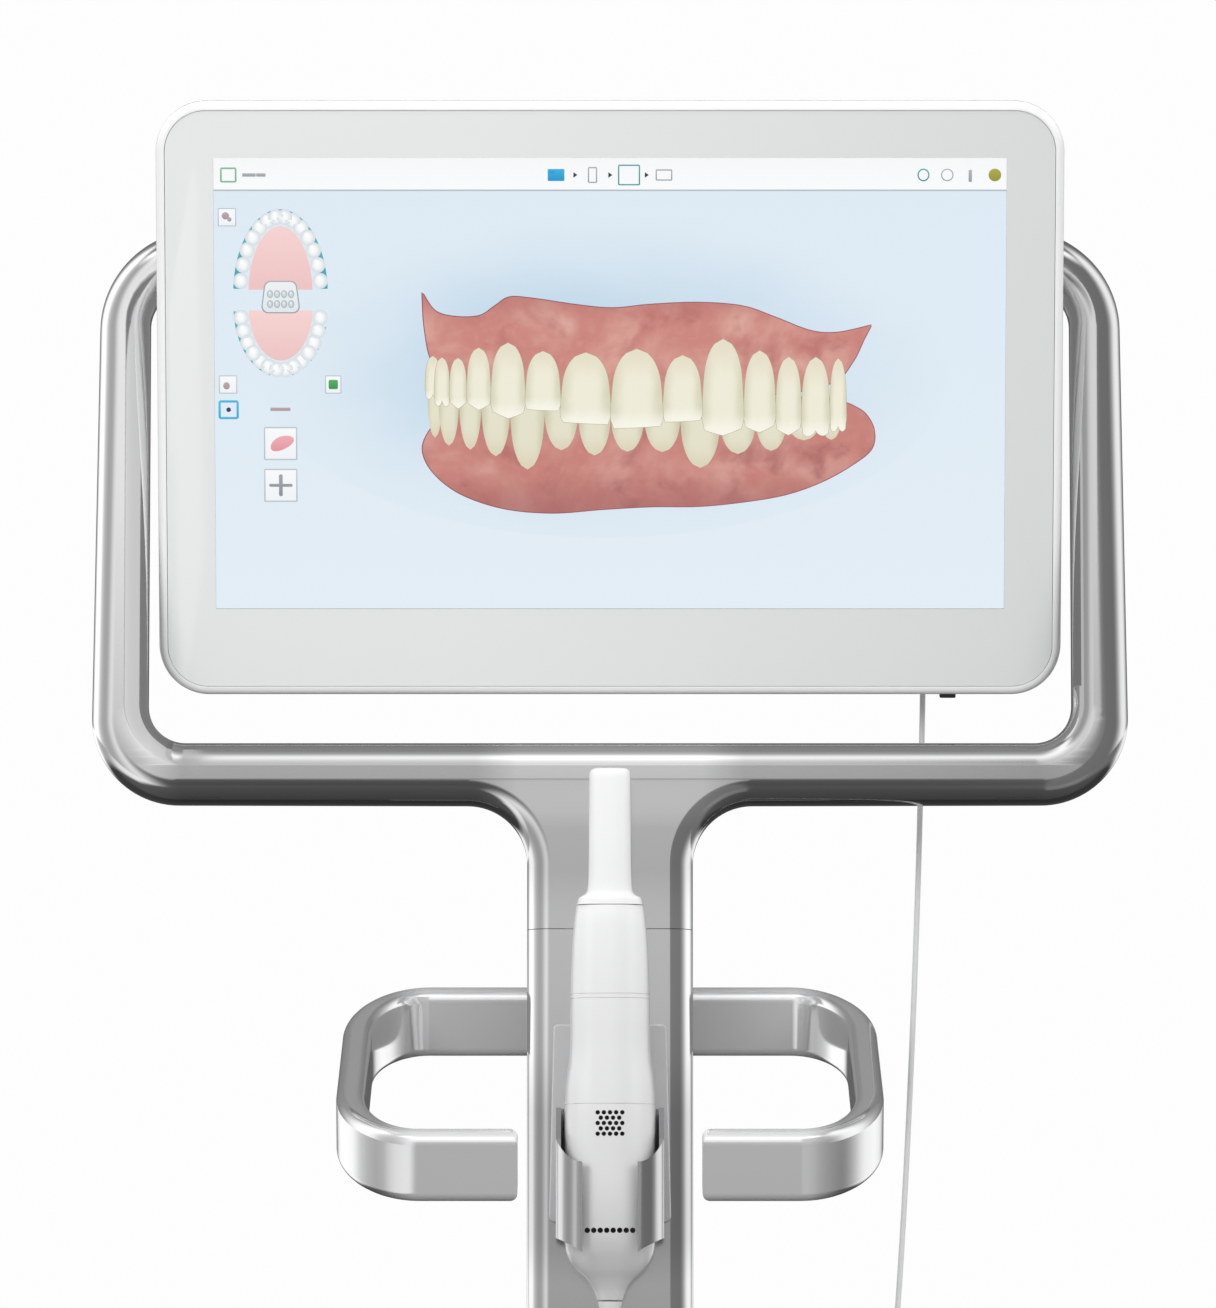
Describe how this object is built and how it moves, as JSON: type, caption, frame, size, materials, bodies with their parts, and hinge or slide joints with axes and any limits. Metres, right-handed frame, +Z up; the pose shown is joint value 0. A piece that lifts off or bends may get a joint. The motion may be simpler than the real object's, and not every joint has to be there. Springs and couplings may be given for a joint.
{
  "type": "intraoral scanner",
  "caption": "Wheeled intraoral scanner: wide touch screen on a tilting hinge in a loop frame, ring handle round the post, and a hand wand resting in an open cradle",
  "frame": {"origin": "on the floor, at the middle of the box round the stand without its cable", "axes": "+Z up, the screen faces -Y, +X to the right as seen from the front"},
  "size_m": [0.629, 0.6368, 1.279],
  "materials": {
    "satin_aluminium": "satin",
    "white_plastic": "satin",
    "gloss_white": "gloss",
    "pale_glass": "gloss, painted pale grey at the back round a clear window",
    "display_face": "lit display face",
    "circuit_board": "board lacquer",
    "black_plastic": "matte",
    "grey_plastic": "matte",
    "tyre_rubber": "matte",
    "bare_steel": "brushed",
    "clear_window": "clear",
    "cable_jacket": "soft jacket"
  },
  "bodies": {
    "stand": {"wheel_base": "white_plastic", "base_cover": "white_plastic", "base_bolt": "bare_steel", "lower_post": "satin_aluminium", "post_spigot": "bare_steel", "post_bolt_upper": "bare_steel", "post_bolt_lower": "bare_steel", "yoke_frame": "satin_aluminium", "tilt_journal_left": "bare_steel", "tilt_journal_right": "bare_steel", "ring_handle": "satin_aluminium", "ring_bracket": "grey_plastic", "ring_bolt_left": "bare_steel", "ring_bolt_right": "bare_steel", "cradle_plate": "satin_aluminium", "cradle_clip": "satin_aluminium", "cradle_seat": "black_plastic", "cradle_screw_left": "bare_steel", "cradle_screw_right": "bare_steel", "wand_front_shell": "gloss_white", "wand_rear_shell": "gloss_white", "wand_sleeve": "gloss_white", "wand_window": "clear_window", "wand_optics": "black_plastic", "wand_board": "circuit_board", "wand_tail": "white_plastic", "scanner_cable": "cable_jacket"},
    "screen": {"front_rim": "white_plastic", "front_glass": "pale_glass", "display_panel": "display_face", "rear_cover": "white_plastic", "main_board": "circuit_board", "heat_sink": "bare_steel", "tilt_bracket": "satin_aluminium", "collar_cap_left": "satin_aluminium", "collar_cap_right": "satin_aluminium", "bracket_screw_left": "bare_steel", "bracket_screw_right": "bare_steel", "cover_screw_lower_left": "bare_steel", "cover_screw_upper_left": "bare_steel", "cover_screw_lower_right": "bare_steel", "cover_screw_upper_right": "bare_steel", "cable_plug": "grey_plastic"},
    "power_key": {"power_button": "black_plastic"},
    "wand_key": {"wand_button": "grey_plastic"},
    "caster_1": {"caster_fork_1": "grey_plastic", "caster_axle_1": "bare_steel"},
    "wheel_1": {"caster_wheel_1": "tyre_rubber"},
    "caster_2": {"caster_fork_2": "grey_plastic", "caster_axle_2": "bare_steel"},
    "wheel_2": {"caster_wheel_2": "tyre_rubber"},
    "caster_3": {"caster_fork_3": "grey_plastic", "caster_axle_3": "bare_steel"},
    "wheel_3": {"caster_wheel_3": "tyre_rubber"},
    "caster_4": {"caster_fork_4": "grey_plastic", "caster_axle_4": "bare_steel"},
    "wheel_4": {"caster_wheel_4": "tyre_rubber"},
    "caster_5": {"caster_fork_5": "grey_plastic", "caster_axle_5": "bare_steel"},
    "wheel_5": {"caster_wheel_5": "tyre_rubber"}
  },
  "joints": [
    {"name": "screen_tilt", "type": "hinge", "parent": "stand", "child": "screen", "pos_m": [0, 0.27164, 1.17618], "axis": [1, 0, 0], "range_deg": [-15, 20], "deforming": ["scanner_cable"]},
    {"name": "power_button_press", "type": "slide", "parent": "screen", "child": "power_key", "axis": [0, 0.1219, 0.9925], "range_m": [0, 0.001], "stiffness_N_per_m": 1500, "springref_m": -0.0006},
    {"name": "wand_button_press", "type": "slide", "parent": "stand", "child": "wand_key", "axis": [0, -0.9361, 0.3518], "range_m": [0, 0.0008], "stiffness_N_per_m": 1500, "springref_m": -0.0006},
    {"name": "caster_swivel_1", "type": "hinge", "parent": "stand", "child": "caster_1", "pos_m": [0, -0.29443, 0.0874], "axis": [0, 0, 1], "continuous": true},
    {"name": "wheel_spin_1", "type": "hinge", "parent": "caster_1", "child": "wheel_1", "pos_m": [0, -0.27043, 0.0375], "axis": [1, 0, 0], "continuous": true},
    {"name": "caster_swivel_2", "type": "hinge", "parent": "stand", "child": "caster_2", "pos_m": [0.29007, -0.08368, 0.0874], "axis": [0, 0, 1], "continuous": true},
    {"name": "wheel_spin_2", "type": "hinge", "parent": "caster_2", "child": "wheel_2", "pos_m": [0.29007, -0.05968, 0.0375], "axis": [1, 0, 0], "continuous": true},
    {"name": "caster_swivel_3", "type": "hinge", "parent": "stand", "child": "caster_3", "pos_m": [0.17927, 0.25732, 0.0874], "axis": [0, 0, 1], "continuous": true},
    {"name": "wheel_spin_3", "type": "hinge", "parent": "caster_3", "child": "wheel_3", "pos_m": [0.17927, 0.28132, 0.0375], "axis": [1, 0, 0], "continuous": true},
    {"name": "caster_swivel_4", "type": "hinge", "parent": "stand", "child": "caster_4", "pos_m": [-0.17927, 0.25732, 0.0874], "axis": [0, 0, 1], "continuous": true},
    {"name": "wheel_spin_4", "type": "hinge", "parent": "caster_4", "child": "wheel_4", "pos_m": [-0.17927, 0.28132, 0.0375], "axis": [1, 0, 0], "continuous": true},
    {"name": "caster_swivel_5", "type": "hinge", "parent": "stand", "child": "caster_5", "pos_m": [-0.29007, -0.08368, 0.0874], "axis": [0, 0, 1], "continuous": true},
    {"name": "wheel_spin_5", "type": "hinge", "parent": "caster_5", "child": "wheel_5", "pos_m": [-0.29007, -0.05968, 0.0375], "axis": [1, 0, 0], "continuous": true}
  ]
}
